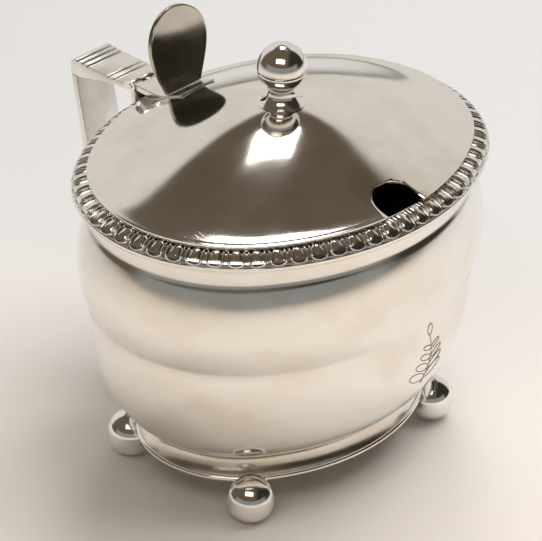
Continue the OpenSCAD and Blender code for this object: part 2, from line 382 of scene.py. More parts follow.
    @classmethod
    def rounded_copy(cls, node: str, name: str, width: float, segments: int = 3) -> bpy.types.Object:
        """Copies a CAD node's mesh, cleans it and rounds its edges.

        Args:
            node: Name of the CAD node.
            name: Name of the new object.
            width: Width of the edge rounding, in millimetres.
            segments: Number of steps across each rounding.

        Returns:
            The finished object.
        """
        cls.clear()
        obj = cls.linked(name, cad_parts[node].data.copy())
        obj.data.materials.clear()
        cls.only(obj)
        cls.edit()
        bpy.ops.mesh.remove_doubles(threshold=0.002 * MM)
        bpy.ops.mesh.dissolve_limited(angle_limit=math.radians(1.0))
        bpy.ops.mesh.normals_make_consistent(inside=False)
        bpy.ops.object.mode_set(mode="OBJECT")
        cls.bevel(obj, width, segments)
        cls.smooth(obj)
        return obj


def remap(tree: bpy.types.NodeTree, factor: bpy.types.NodeSocket, low: float, high: float,
          start: float = 0.0, end: float = 1.0, soft: bool = False) -> bpy.types.NodeSocket:
    """Adds a node that remaps a factor from one range to another, clamped.

    Args:
        tree: The node tree.
        factor: The factor.
        low: Its value that becomes start.
        high: Its value that becomes end.
        start: Result at low.
        end: Result at high.
        soft: Whether the change eases in and out.

    Returns:
        The result.
    """
    node = tree.nodes.new("ShaderNodeMapRange")
    if soft:
        node.interpolation_type = "SMOOTHSTEP"
    node.inputs["From Min"].default_value = low
    node.inputs["From Max"].default_value = high
    node.inputs["To Min"].default_value = start
    node.inputs["To Max"].default_value = end
    tree.links.new(factor, node.inputs["Value"])
    return node.outputs["Result"]


def mix_colours(tree: bpy.types.NodeTree, factor: bpy.types.NodeSocket, first: Colour | bpy.types.NodeSocket,
                second: Colour) -> bpy.types.NodeSocket:
    """Adds a node that mixes two colours.

    Args:
        tree: The node tree.
        factor: Share of the second colour.
        first: The first colour, or the socket that gives it.
        second: The second colour.

    Returns:
        The mixed colour.
    """
    node = tree.nodes.new("ShaderNodeMix")
    node.data_type = "RGBA"
    tree.links.new(factor, node.inputs[0])
    if isinstance(first, tuple):
        node.inputs[6].default_value = (*first, 1.0)
    else:
        tree.links.new(first, node.inputs[6])
    node.inputs[7].default_value = (*second, 1.0)
    return node.outputs[2]


def measure_along(tree: bpy.types.NodeTree, place: bpy.types.NodeSocket, axis: Vector) -> bpy.types.NodeSocket:
    """Adds a node that measures coordinates along an axis.

    Args:
        tree: The node tree.
        place: The coordinates.
        axis: The axis.

    Returns:
        The distance along the axis.
    """
    node = tree.nodes.new("ShaderNodeVectorMath")
    node.operation = "DOT_PRODUCT"
    node.inputs[1].default_value = axis
    tree.links.new(place, node.inputs[0])
    return node.outputs["Value"]


@dataclass(frozen=True)
class SilverFinish:
    """Polished silver with tarnish, polishing marks, stray scratches, and recesses darkened with tarnish and painted
    shade.

    Attributes:
        name: Name of the material.
        bright: Colour of clean metal.
        tarnish: Colour of lightly tarnished metal.
        tarnish_amount: Share of the surface that the tarnish takes.
        roughness: Roughness of clean metal.
        lay: Which way the polishing marks run.
        mark_depth: Depth of the polishing marks, in millimetres.
        scratch_depth: Depth of the stray scratches, in millimetres.
        wave_depth: Depth of the hammered unevenness, in millimetres.
        recess_tarnish_and_shade: How dark the tarnish and painted shade in the recesses are, from 0 to 1.
        recess_tarnish_and_shade_reach: How far the tarnish and painted shade reach out of a recess, in millimetres.
        recess_tarnish_and_shade_colour: Colour of the darkest recess, tarnish and painted shade together.
    """

    name: str
    bright: Colour = (0.90, 0.875, 0.84)
    tarnish: Colour = (0.72, 0.66, 0.56)
    tarnish_amount: float = 0.45
    roughness: float = 0.13
    lay: Lay = Lay.CROSSED
    mark_depth: float = 0.004
    scratch_depth: float = 0.012
    wave_depth: float = 0.05
    # These recess fields paint shade into the colour, together with the tarnish that gathers in recesses.
    recess_tarnish_and_shade: float = 0.5
    recess_tarnish_and_shade_reach: float = 1.2
    recess_tarnish_and_shade_colour: Colour = (0.10, 0.085, 0.065)

    def build(self) -> bpy.types.Material:
        """Makes the material, or returns it if it is already there."""
        known = bpy.data.materials.get(self.name)
        if known:
            return known
        material = bpy.data.materials.new(self.name)
        material.use_nodes = True
        tree = material.node_tree
        shader = tree.nodes["Principled BSDF"]
        shader.inputs["Metallic"].default_value = 1.0
        place = tree.nodes.new("ShaderNodeTexCoord").outputs["Object"]
        tree.links.new(self._colour(tree, place), shader.inputs["Base Color"])
        tree.links.new(self._roughness(tree, place), shader.inputs["Roughness"])
        tree.links.new(self._relief(tree, place), shader.inputs["Normal"])
        return material

    @staticmethod
    def _noise(tree: bpy.types.NodeTree, place: bpy.types.NodeSocket, scale: tuple[float, float, float],
               turn: tuple[float, float, float] = (0.0, 0.0, 0.0), detail: float = 4.0) -> bpy.types.NodeSocket:
        """Adds a noise with its own scale and direction.

        Args:
            tree: The material's node tree.
            place: The coordinates.
            scale: Scale along each axis, per metre.
            turn: Rotation of the pattern, in radians.
            detail: Detail of the noise.

        Returns:
            The noise's factor.
        """
        mapping = tree.nodes.new("ShaderNodeMapping")
        mapping.inputs["Scale"].default_value = scale
        mapping.inputs["Rotation"].default_value = turn
        noise = tree.nodes.new("ShaderNodeTexNoise")
        noise.inputs["Scale"].default_value = 1.0
        noise.inputs["Detail"].default_value = detail
        noise.inputs["Roughness"].default_value = 0.55
        tree.links.new(place, mapping.inputs["Vector"])
        tree.links.new(mapping.outputs["Vector"], noise.inputs["Vector"])
        return noise.outputs["Fac"]

    def _recess_tarnish_and_shade_mask(self, tree: bpy.types.NodeTree) -> bpy.types.NodeSocket:
        """Returns a factor that is 1 in deep recesses and 0 on open faces, for the tarnish and painted shade there.
        """
        # Painted shade: the occlusion mask puts the dark recess colour where light is hidden, along with the tarnish
        # there.
        shade = tree.nodes.new("ShaderNodeAmbientOcclusion")
        shade.samples = 8
        shade.only_local = True
        shade.inputs["Distance"].default_value = self.recess_tarnish_and_shade_reach * MM
        return remap(tree, shade.outputs["AO"], 0.35, 0.9, self.recess_tarnish_and_shade, 0.0)

    def _colour(self, tree: bpy.types.NodeTree, place: bpy.types.NodeSocket) -> bpy.types.NodeSocket:
        """Mixes clean and tarnished metal, and darkens the recesses with tarnish and painted shade."""
        clouds = self._noise(tree, place, (55.0, 55.0, 75.0), detail=5.0)
        mask = remap(tree, clouds, 0.62 - 0.4 * self.tarnish_amount, 0.95 - 0.3 * self.tarnish_amount)
        metal = mix_colours(tree, mask, self.bright, self.tarnish)
        # Painted shade and tarnish are mixed into the colour in the recesses.
        return mix_colours(tree, self._recess_tarnish_and_shade_mask(tree), metal, self.recess_tarnish_and_shade_colour)

    def _roughness(self, tree: bpy.types.NodeTree, place: bpy.types.NodeSocket) -> bpy.types.NodeSocket:
        """Varies the polish softly over the surface."""
        clouds = self._noise(tree, place, (90.0, 70.0, 120.0), detail=6.0)
        return remap(tree, clouds, 0.3, 0.75, self.roughness * 0.75, self.roughness * 1.7)

    def _relief(self, tree: bpy.types.NodeTree, place: bpy.types.NodeSocket) -> bpy.types.NodeSocket:
        """Stacks the hammered unevenness, the polishing marks and the stray scratches."""
        if self.lay is Lay.LEVEL:
            marks = [((60.0, 60.0, 4200.0), (0.0, 0.0, 0.0))]
        else:
            marks = [((70.0, 3600.0, 300.0), (0.0, 0.0, 0.6)), ((3800.0, 60.0, 300.0), (0.0, 0.0, 0.25))]
        layers = [(self._noise(tree, place, (85.0, 85.0, 110.0), detail=1.0), self.wave_depth)]
        layers += [(self._noise(tree, place, scale, turn, 3.0), self.mark_depth) for scale, turn in marks]
        scratches = (((110.0, 6200.0, 400.0), (0.2, 0.1, 1.1)), ((5200.0, 90.0, 460.0), (0.0, 0.3, 0.45)))
        for scale, turn in scratches:
            line = remap(tree, self._noise(tree, place, scale, turn, 1.0), 0.74, 0.80, 0.0, -1.0)
            layers.append((line, self.scratch_depth))
        normal = None
        for height, depth in layers:
            bump = tree.nodes.new("ShaderNodeBump")
            bump.inputs["Strength"].default_value = 1.0
            bump.inputs["Distance"].default_value = depth * MM
            tree.links.new(height, bump.inputs["Height"])
            if normal is not None:
                tree.links.new(normal, bump.inputs["Normal"])
            normal = bump.outputs["Normal"]
        return normal


BODY_SILVER = SilverFinish("body_silver", tarnish=(0.80, 0.74, 0.65), scratch_depth=0.003, lay=Lay.LEVEL,
                           recess_tarnish_and_shade=0.35, recess_tarnish_and_shade_reach=2.0, mark_depth=0.0015)
LID_SILVER = SilverFinish("lid_silver", roughness=0.08, scratch_depth=0.0016, wave_depth=0.03, mark_depth=0.0012)
TRIM_SILVER = SilverFinish("trim_silver", bright=(0.92, 0.90, 0.87), roughness=0.1, recess_tarnish_and_shade=0.6, recess_tarnish_and_shade_reach=0.5,
                           mark_depth=0.001, scratch_depth=0.003, wave_depth=0.01, tarnish_amount=0.3)
BALL_SILVER = SilverFinish("ball_silver", bright=(0.93, 0.92, 0.90), roughness=0.1, recess_tarnish_and_shade=0.5, wave_depth=0.02,
                           mark_depth=0.001, scratch_depth=0.004)
HANDLE_SILVER = SilverFinish("handle_silver", roughness=0.24, recess_tarnish_and_shade=0.75, recess_tarnish_and_shade_reach=0.9, wave_depth=0.02,
                             mark_depth=0.001, scratch_depth=0.004)
THUMB_SILVER = SilverFinish("thumb_silver", bright=(0.66, 0.63, 0.58), tarnish=(0.42, 0.38, 0.31), roughness=0.1,
                            tarnish_amount=0.6, scratch_depth=0.006, wave_depth=0.02, mark_depth=0.001)
ENGRAVED_SILVER = SilverFinish("engraved_silver", bright=(0.34, 0.30, 0.25), tarnish=(0.2, 0.17, 0.13),
                               roughness=0.35)
DULL_SILVER = SilverFinish("dull_silver", bright=(0.66, 0.63, 0.58), tarnish=(0.42, 0.37, 0.30), roughness=0.3,
                           tarnish_amount=0.7, recess_tarnish_and_shade=0.8, recess_tarnish_and_shade_reach=6.0)


def dress(obj: bpy.types.Object, finish: SilverFinish, body: Body, slot: Slot, *nodes: str) -> None:
    """Gives a finished piece its material and its body, and hides the CAD nodes that it stands for.

    Args:
        obj: The finished piece.
        finish: Its finish.
        body: The body that it rides on.
        slot: The record's material slot; not used.
        nodes: CAD nodes that it replaces.
    """
    obj.data.materials.clear()
    obj.data.materials.append(finish.build())
    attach(obj, body.value)
    if nodes:
        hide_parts(*nodes)
    LOG.info("%s: %d faces on %s", obj.name, len(obj.data.polygons), body.value)


def dress_node(node: str, finish: SilverFinish) -> None:
    """Gives a CAD node that stays in view its finish.

    Args:
        node: Name of the CAD node.
        finish: Its finish.
    """
    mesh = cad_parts[node].data
    mesh.materials.clear()
    mesh.materials.append(finish.build())


@dataclass
class Bowl:
    """The raised oval bowl with its shoulder band, and the plate that closes it.

    Attributes:
        shoulder: Half-length at the fullest part of the shoulder band.
        waist: Half-length at the crease under the band.
        base: Half-length at the base plate.
        neck: Half-length at the plain neck.
        base_z: Height of the underside.
        waist_z: Height of the crease under the band.
        neck_z: Height of the crease over the band.
        border_z: Height at which the gadroon border starts.
        mouth_z: Height of the sheet's upper edge.
        power: Fullness of the belly's curve.
        sheet: Thickness of the sheet.
    """

    shoulder: float = 45.1
    waist: float = 43.0
    base: float = 27.4
    neck: float = 42.35
    base_z: float = 12.6
    waist_z: float = 39.5
    neck_z: float = 59.7
    border_z: float = 64.4
    mouth_z: float = 67.4
    power: float = 2.3
    sheet: float = 0.9

    def belly_half(self, depth_share: float) -> float:
        """Returns the belly's half-length at a share of its depth below the waist."""
        return self.base + (self.waist - self.base) * max(1 - depth_share ** self.power, 0) ** (1 / self.power)

    def belly_half_at(self, height: float) -> float:
        """Returns the belly's half-length at a height."""
        return self.belly_half((self.waist_z - height) / (self.waist_z - self.base_z))

    def wall(self, inset: float) -> Profile:
        """Draws the wall from the base to the neck.

        Args:
            inset: How far inside the outer face the line runs, in millimetres.

        Returns:
            Points as (half-length, height).
        """
        depth = self.waist_z - self.base_z - inset
        shares = [math.sin(math.radians(a)) ** 0.8 for a in range(90, 0, -4)]
        line = [(max(self.belly_half(u) - inset, self.base), self.waist_z - depth * u) for u in shares]
        line.append((self.waist - inset - 0.02, self.waist_z - 0.15))
        span = self.neck_z - self.waist_z
        for step in range(25):
            height = self.waist_z + span * (0.012 + 0.976 * step / 24)
            u = 2 * (height - self.waist_z) / span - 1
            line.append((self.shoulder - (self.shoulder - self.waist) * u * u - inset, height))
        for step in range(7):
            height = self.neck_z + 0.1 + (self.border_z - self.neck_z - 0.1) * step / 6
            cove = 0.5 * ((self.border_z - height) / (self.border_z - self.neck_z)) ** 2
            line.append((self.neck + cove - inset, height))
        return line

    def build(self) -> None:
        """Builds and dresses the bowl."""
        outline = self.wall(0.0) + [(self.neck, self.mouth_z), (self.neck - self.sheet, self.mouth_z)]
        outline += reversed(self.wall(self.sheet))
        dress(Bench.sweep_oval("bowl_shell_raised", outline, 50), BODY_SILVER, Body.POT, Slot.SHEET, "bowl_shell")
        dress_node("base_plate", DULL_SILVER)
        dress_node("mouth_bezel", DULL_SILVER)


@dataclass
class Flourish:
    """The engraved sprig on the belly below the notch.

    Attributes:
        bowl: The bowl that it is cut into.
        turn: Angle round the bowl of its middle, from the notch, in degrees.
        height: Height of its middle.
        size: Half of its height.
        line: Half-width of its cut.
        squeeze: How much lower than it is drawn it lies on the sloping belly.
        leaf_pairs: Number of pairs of leaves.
    """

    bowl: Bowl
    turn: float = 9.0
    height: float = 30.0
    size: float = 8.6
    line: float = 0.13
    squeeze: float = 0.72
    leaf_pairs: int = 4

    def on_belly(self, across: float, rise: float) -> Vector:
        """Places a point of the drawing on the belly.

        Args:
            across: Distance along the belly from the drawing's middle, in millimetres.
            rise: Height above the drawing's middle, in millimetres.

        Returns:
            The point, in millimetres.
        """
        height = self.height + rise * self.squeeze
        half = self.bowl.belly_half_at(height)
        angle = math.radians(self.turn) + across / (half + NARROWING)
        return oval_point(half - 0.05, angle, height)

    def strokes(self) -> list[Profile]:
        """Draws the sprig's strokes as (across, rise) points: a bowed stem, paired leaves and a bud at the top."""
        stem = [(self.size * 0.14 * math.sin(math.pi * k / 20), self.size * (k / 10 - 1)) for k in range(21)]
        leaves = [(stem[2 + 4 * level], (side * 0.62, 0.4), 1 - 0.16 * level)
                  for level in range(self.leaf_pairs) for side in (-1, 1)]
        leaves.append((stem[-1], (0.0, 0.42), 1.0))
        lines = [stem]
        for foot, (out, up), scale in leaves:
            line = []
            for step in range(25):
                turn = math.tau * step / 24
                along, aside = (1 - math.cos(turn)) / 2 * scale, math.sin(turn) * 0.22 * scale
                line.append((foot[0] + self.size * (out * along - up * aside),
                             foot[1] + self.size * (up * along + out * aside)))
            lines.append(line)
        return lines

    def build(self) -> None:
        """Builds the strokes as fine dark cuts in the belly's face."""
        for index, line in enumerate(self.strokes()):
            spots = [self.on_belly(across, rise) for across, rise in line]
            Bench.trace(f"engraved_stroke_{index}", spots, closed=False)
            bpy.ops.object.mode_set(mode="OBJECT")
            bpy.ops.object.convert(target="CURVE")
            stroke = bpy.context.object
            stroke.data.bevel_depth = self.line * MM
            stroke.data.bevel_resolution = 2
            bpy.ops.object.convert(target="MESH")
            stroke = bpy.context.object
            Bench.finish(stroke, 60, merge=0.0005)
            dress(stroke, ENGRAVED_SILVER, Body.POT, Slot.SHEET)


@dataclass
class GadroonBorder:
    """The cast border of scooped tongues that is soldered round the rim.

    Attributes:
        count: Number of tongues round the rim.
        crest: Half-length and height of the border's top.
        lip: Half-length and height of its outer lip.
        inner: Half-length of its inner edge.
        neck: Half-length of the bowl's neck, which it is soldered to.
        foot_z: Height of its underside.
        mouth_z: Height of the bowl's upper edge.
        tongue_width: Width of one tongue.
        tongue_length: Length of one tongue.
        cut_off: What is cut off a tongue's inner end, so that it ends open.
        inner_share: Where the tongues start, as a share of the way from crest to lip.
        outer_share: Where the tongues end.
        height: How far a tongue stands proud of the ground behind it.
        terraces: Width and rise of each step from a tongue's edge to the middle of its scoop.
    """

    count: int = 62
    crest: tuple[float, float] = (41.8, 68.58)
    lip: tuple[float, float] = (45.97, 66.0)
    inner: float = 41.45
    neck: float = 42.35
    foot_z: float = 64.4
    mouth_z: float = 67.4
    tongue_width: float = 3.6
    tongue_length: float = 4.7
    cut_off: float = 1.6
    inner_share: float = 0.04
    outer_share: float = 0.9
    height: float = 0.36
    terraces: tuple[tuple[float, float], ...] = (
        (0.14, 0.1), (0.26, 0.0), (0.16, -0.36), (0.14, 0.0), (0.24, 0.26), (0.45, 0.12))

    def bow(self, share: float, sink: float) -> tuple[Vector, Vector]:
        """Finds a point on the border's bowed face.

        Args:
            share: Share of the way from the crest to the lip.
            sink: How far below the face the point lies, in millimetres.

        Returns:
            The point as (half-length, height), and the face's outward direction there.
        """
        angle = math.radians(90 * share)
        wide, high = self.lip[0] - self.crest[0], self.crest[1] - self.lip[1]
        point = Vector((self.crest[0] + wide * math.sin(angle), self.lip[1] + high * math.cos(angle)))
        out = Vector((math.sin(angle) * high, math.cos(angle) * wide)).normalized()
        return point - out * sink, out

    def ground(self) -> bpy.types.Object:
        """Builds the plain ring behind the tongues, with its inner edge and outer lip."""
        span = self.outer_share - self.inner_share
        face = [(0.0, 0.0), (self.inner_share - 0.01, 0.0)]
        face += [(self.inner_share + span * step / 9, self.height) for step in range(10)]
        face += [(self.outer_share + 0.04, 0.1), (0.97, 0.0)]
        outline = [(self.neck, self.foot_z), (self.neck, self.mouth_z), (self.inner, self.mouth_z),
                   (self.inner, self.crest[1] - 0.25), (self.inner + 0.12, self.crest[1] - 0.05)]
        outline += [tuple(self.bow(share, sink)[0]) for share, sink in face]
        outline += [self.lip, (self.lip[0], self.lip[1] - 0.35), (self.lip[0] - 0.15, self.lip[1] - 0.5),
                    (self.lip[0] - 0.7, self.foot_z + 0.3)]
        return Bench.sweep_oval("gadroon_ground", outline, 45)

    def tongue(self) -> bpy.types.Object:
        """Builds one flat tongue: a scooped pad with a round outer end and a raised rim.

        Returns:
            The tongue, with X across it, Y along it towards its round end and Z up from the ground, in metres.
        """
        pad = Bench.rounded_plate("gadroon_tongue", (self.tongue_width, self.tongue_length + self.cut_off),
                                  Vector((0, -self.cut_off / 2, 0)), Vector((0, 1, 0)),
                                  0.48 * self.tongue_width, 5)
        bpy.ops.mesh.extrude_region_move(TRANSFORM_OT_translate={"value": (0, 0, (self.height - 0.04) * MM)})
        for width, rise in self.terraces:
            bpy.ops.mesh.inset(thickness=width * MM, depth=rise * MM)
        bpy.ops.object.mode_set(mode="OBJECT")
        Bench.subdivide(pad)
        Bench.edit()
        bpy.ops.mesh.bisect(plane_co=(0, -self.tongue_length / 2 * MM, 0), plane_no=(0, 1, 0), clear_inner=True,
                            use_fill=True)
        bpy.ops.object.mode_set(mode="OBJECT")
        return pad

    def placed(self, pad: bpy.types.Object, index: int) -> bpy.types.Object:
        """Copies the flat tongue and bends the copy onto the border.

        Args:
            pad: The flat tongue.
            index: Which tongue it is, counted round the rim.

        Returns:
            The copy.
        """
        copy = Bench.linked(f"tongue_{index}", pad.data.copy())
        middle_half = (self.crest[0] + self.lip[0]) / 2
        for vertex in copy.data.vertices:
            along = vertex.co.y / MM / self.tongue_length + 0.5
            spot, out = self.bow(self.inner_share + (self.outer_share - self.inner_share) * along, self.height)
            spot += out * vertex.co.z / MM
            share = (index + 0.5) / self.count + vertex.co.x / MM / perimeter(middle_half)
            vertex.co = oval_point(spot.x, normal_at_length(share, middle_half), spot.y) * MM
        return copy

    def build(self) -> None:
        """Builds and dresses the ground ring and the tongues."""
        ring = self.ground()
        pad = self.tongue()
        copies = [self.placed(pad, index) for index in range(self.count)]
        bpy.data.objects.remove(pad)
        Bench.clear()
        for copy in copies:
            copy.select_set(True)
        bpy.context.view_layer.objects.active = copies[0]
        bpy.ops.object.join()
        tongues = bpy.context.object
        tongues.name = "gadroon_tongues"
        Bench.finish(tongues, 60, merge=0.0001)
        dress(ring, TRIM_SILVER, Body.POT, Slot.TRIM, "gadroon_border")
        dress(tongues, TRIM_SILVER, Body.POT, Slot.TRIM)


@dataclass
class Foot:
    """The flared foot collar, its edge wire and the four ball feet.

    Attributes:
        top: Half-length of the collar's neck.
        reach: Half-length of its lower edge.
        top_z: Height of its neck.
        edge_z: Height of its lower edge.
        wire: Radius of the edge wire.
        ball: Radius of a ball foot.
        worn: How much is worn off under a ball foot.
        seam: Height over the ball's middle, half-width and depth of its seam.
    """

    top: float = 28.6
    reach: float = 32.9
    top_z: float = 12.6
    edge_z: float = 8.8
    wire: float = 0.55
    ball: float = 5.0
    worn: float = 0.1
    seam: tuple[float, float, float] = (0.35, 0.25, 0.06)

    def collar(self) -> bpy.types.Object:
        """Builds the collar as a thin swept apron."""
        full_swing = math.radians(81)
        across = (self.reach - self.top) / (1 - math.cos(full_swing))
        down = (self.top_z - self.edge_z) / math.sin(full_swing)
        outer = []
        for step in range(28):
            swing = full_swing * step / 27
            outer.append((self.top + across * (1 - math.cos(swing)), self.top_z - down * math.sin(swing)))
        inner = [(half - 0.75, height - 0.25) for half, height in reversed(outer)]
        outline = [(self.top - 1.2, self.top_z)] + outer + inner + [(self.top - 1.2, self.top_z - 0.25)]
        return Bench.sweep_oval("foot_collar_apron", outline, 50)

    def edge_wire(self) -> bpy.types.Object:
        """Builds the round wire along the collar's lower edge."""
        centre = (self.reach + self.wire, self.edge_z - 0.12)
        turns = [math.tau * step / 12 for step in range(12)]
        outline = [(centre[0] + self.wire * math.cos(turn), centre[1] + self.wire * math.sin(turn)) for turn in turns]
        return Bench.sweep_oval("collar_edge_wire_round", outline, 80)

    def ball_foot(self, node: str) -> None:
        """Builds one ball foot: a ball worn flat underneath, with a seam and rounded edges.

        Args:
            node: The CAD node that the foot stands for.
        """
        low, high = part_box(node)
        centre = Vector(((low.x + high.x) / 2, (low.y + high.y) / 2, (self.ball - self.worn) * MM))
        Bench.clear()
        bpy.ops.mesh.primitive_uv_sphere_add(segments=64, ring_count=40, radius=self.ball * MM, location=(0, 0, 0))
        foot = bpy.context.object
        foot.name = node + "_ball"
        Bench.edit()
        bpy.ops.transform.translate(value=centre)
        bpy.ops.mesh.bisect(plane_co=(0, 0, 0.02 * MM), plane_no=(0, 0, 1), clear_inner=True, use_fill=True)
        bpy.ops.object.mode_set(mode="OBJECT")
        seam_rise, seam_half, seam_depth = self.seam
        for vertex in foot.data.vertices:
            from_centre = vertex.co - centre
            if abs(from_centre.z - seam_rise * MM) < seam_half * MM:
                vertex.co -= Vector((from_centre.x, from_centre.y, 0)).normalized() * seam_depth * MM
        Bench.close(foot)
        Bench.bevel(foot, 0.15, 2, 25)
        for vertex in foot.data.vertices:
            vertex.co.z = max(vertex.co.z, 0.0)
        Bench.smooth(foot, 40)
        dress(foot, BALL_SILVER, Body.POT, Slot.TRIM, node)

    def build(self) -> None:
        """Builds and dresses the foot."""
        dress(self.collar(), BODY_SILVER, Body.POT, Slot.SHEET, "foot_collar")
        dress(self.edge_wire(), TRIM_SILVER, Body.POT, Slot.TRIM, "collar_edge_wire")
        for end in ("notch", "handle"):
            for side in ("left", "right"):
                self.ball_foot(f"ball_foot_{end}_{side}")


@dataclass
class Lid:
    """The domed lid sheet with its spoon notch.

    Attributes:
        half: Half of the lid's long axis.
        edge_z: Height of the underside at the edge.
        rise: Rise of the dome.
        power: How narrow the flat flange is: higher is narrower.
        rings: Number of rings of faces between the edge and the middle.
        sheet: Thickness of the sheet.
        notch_width: Width of the spoon notch.
        notch_depth: Depth of the spoon notch.
        notch_corner: Corner radius of the spoon notch.
    """

    half: float = 42.8
    edge_z: float = 68.7
    rise: float = 10.5
    power: float = 17.0
    rings: int = 56
    sheet: float = 0.8
    notch_width: float = 10.2
    notch_depth: float = 7.2
    notch_corner: float = 4.0

    def top(self, share: float) -> float:
        """Returns the height of the upper face at a share of the way out to the edge."""
        return self.edge_z + self.sheet + self.rise * (1 - self.fall(min(share, 1.0)) / self.fall(1.0))

    def fall(self, share: float) -> float:
        """Adds up the upper face's slope from the middle out to a share, before it is scaled to the rise."""
        outs = [share * (step + 0.5) / 24 for step in range(24)]
        return share / 24 * sum((1 - (1 - out) ** 2.2) * (1 - out ** self.power) for out in outs)

    def outline(self) -> list[Vector]:
        """Returns the lid's edge as points round the oval, evenly by length."""
        return [oval_point(self.half, normal_at_length(step / 240, self.half), self.edge_z + self.sheet)
                for step in range(240)]

    def dome(self) -> bpy.types.Object:
        """Builds the sheet by drawing its edge and extruding it inwards, ring by ring."""
        sheet = Bench.trace("lid_sheet_domed", self.outline(), closed=True)
        shares = [1 - 0.985 * step / self.rings for step in range(self.rings + 1)]
        for last, share in zip(shares, shares[1:]):
            bpy.ops.mesh.extrude_edges_move(
                TRANSFORM_OT_translate={"value": (0, 0, (self.top(share) - self.top(last)) * MM)})
            bpy.ops.transform.resize(value=(share / last, share / last, 1), center_override=MIDDLE * MM)
        bpy.ops.mesh.merge(type="CENTER")
        Bench.close(sheet)
        self.face_up(sheet)
        Bench.thicken(sheet, self.sheet, offset=-1.0, even=True)
        return sheet

    @staticmethod
    def face_up(sheet: bpy.types.Object) -> None:
        """Turns an open sheet's faces over if they point down."""
        if sum(polygon.normal.z * polygon.area for polygon in sheet.data.polygons) < 0:
            Bench.only(sheet)
            Bench.edit()
            bpy.ops.mesh.flip_normals()
            bpy.ops.object.mode_set(mode="OBJECT")

    def notch_cutter(self) -> bpy.types.Object:
        """Builds the solid that the spoon notch is cut with."""
        length = 20
        inner = self.half - NARROWING - self.notch_depth + MIDDLE.x
        cutter = Bench.rounded_plate("notch_cutter", (length, self.notch_width),
                                     Vector((inner + length / 2, MIDDLE.y, self.edge_z - 5)), Vector((-1, 0, 0)),
                                     self.notch_corner, 10)
        bpy.ops.mesh.extrude_region_move(TRANSFORM_OT_translate={"value": (0, 0, length * MM)})
        Bench.close(cutter)
        return cutter

    def build(self) -> None:
        """Builds, cuts and dresses the lid sheet."""
        sheet = self.dome()
        cutter = self.notch_cutter()
        Bench.only(sheet)
        cut = sheet.modifiers.new("spoon_notch", "BOOLEAN")
        cut.operation = "DIFFERENCE"
        cut.object = cutter
        cut.solver = "EXACT"
        bpy.ops.object.modifier_apply(modifier=cut.name)
        bpy.data.objects.remove(cutter)
        Bench.bevel(sheet, 0.14, 2, 50)
        Bench.smooth(sheet, 35)
        dress(sheet, LID_SILVER, Body.LID, Slot.SHEET, "lid_sheet")


@dataclass
class Finial:
    """The ball finial: a flared neck and two half balls with a seam.

    Attributes:
        radius: Radius of the ball.
        centre_z: Height of its centre.
        seam_drop: How far the seam lies below the centre.
        foot_z: Height of the neck's foot.
        seam_gap: Half-width of the seam.
        seam_inset: Depth of the seam.
    """

    radius: float = 5.1
    centre_z: float = 87.9
    seam_drop: float = 0.7
    foot_z: float = 80.02
    seam_gap: float = 0.03
    seam_inset: float = 0.16

    def arc(self, angles: range) -> Profile:
        """Returns the ball's outline at angles above its middle, in degrees, as (radius, height)."""
        swings = [math.radians(angle) for angle in angles]
        return [(self.radius * math.cos(swing), self.centre_z + self.radius * math.sin(swing)) for swing in swings]

    @staticmethod
    def lathe(name: str, profile: Profile) -> bpy.types.Object:
        """Spins a closed half-profile about the finial's axis.

        Args:
            name: Name of the new object.
            profile: Points as (radius, height), in millimetres.

        Returns:
            The finished object.
        """
        points = [MIDDLE + Vector((radius, 0, height)) for radius, height in profile]
        obj = Bench.trace(name, points, closed=False)
        bpy.ops.mesh.spin(steps=64, angle=math.tau, center=MIDDLE * MM, axis=(0, 0, 1))
        Bench.finish(obj, 50)
        return obj

    def build(self) -> None:
        """Builds and dresses the finial."""
        seam = self.centre_z - self.seam_drop
        crown = [(0.0, self.centre_z + self.radius), *self.arc(range(87, -8, -3))]
        crown += [(self.radius - self.seam_inset, seam + self.seam_gap), (0.0, seam + self.seam_gap)]
        cup = [(0.0, seam - self.seam_gap), (self.radius - self.seam_inset, seam - self.seam_gap)]
        cup += self.arc(range(-11, -62, -3))
        neck_half, neck_z = cup[-1]
        cup.append((0.0, neck_z))
        stem = [(0.0, neck_z), (neck_half + 0.25, neck_z - 0.02), (neck_half + 0.3, neck_z - 0.25)]
        for step in range(11):
            share = step / 10
            stem.append((2.75 + 1.85 * share ** 3, neck_z - 0.4 - (neck_z - 0.4 - self.foot_z) * share))
        stem += [(4.8, self.foot_z - 0.1), (4.75, self.foot_z - 0.4), (0.0, self.foot_z - 0.05)]
        dress(self.lathe("finial_ball_crown", crown), BALL_SILVER, Body.LID, Slot.TRIM, "finial_ball_upper")
        dress(self.lathe("finial_ball_cup", cup), BALL_SILVER, Body.LID, Slot.TRIM, "finial_ball_lower")
        dress(self.lathe("finial_neck_flared", stem), BALL_SILVER, Body.LID, Slot.TRIM, "finial_neck")
        dress_node("finial_peg", DULL_SILVER)


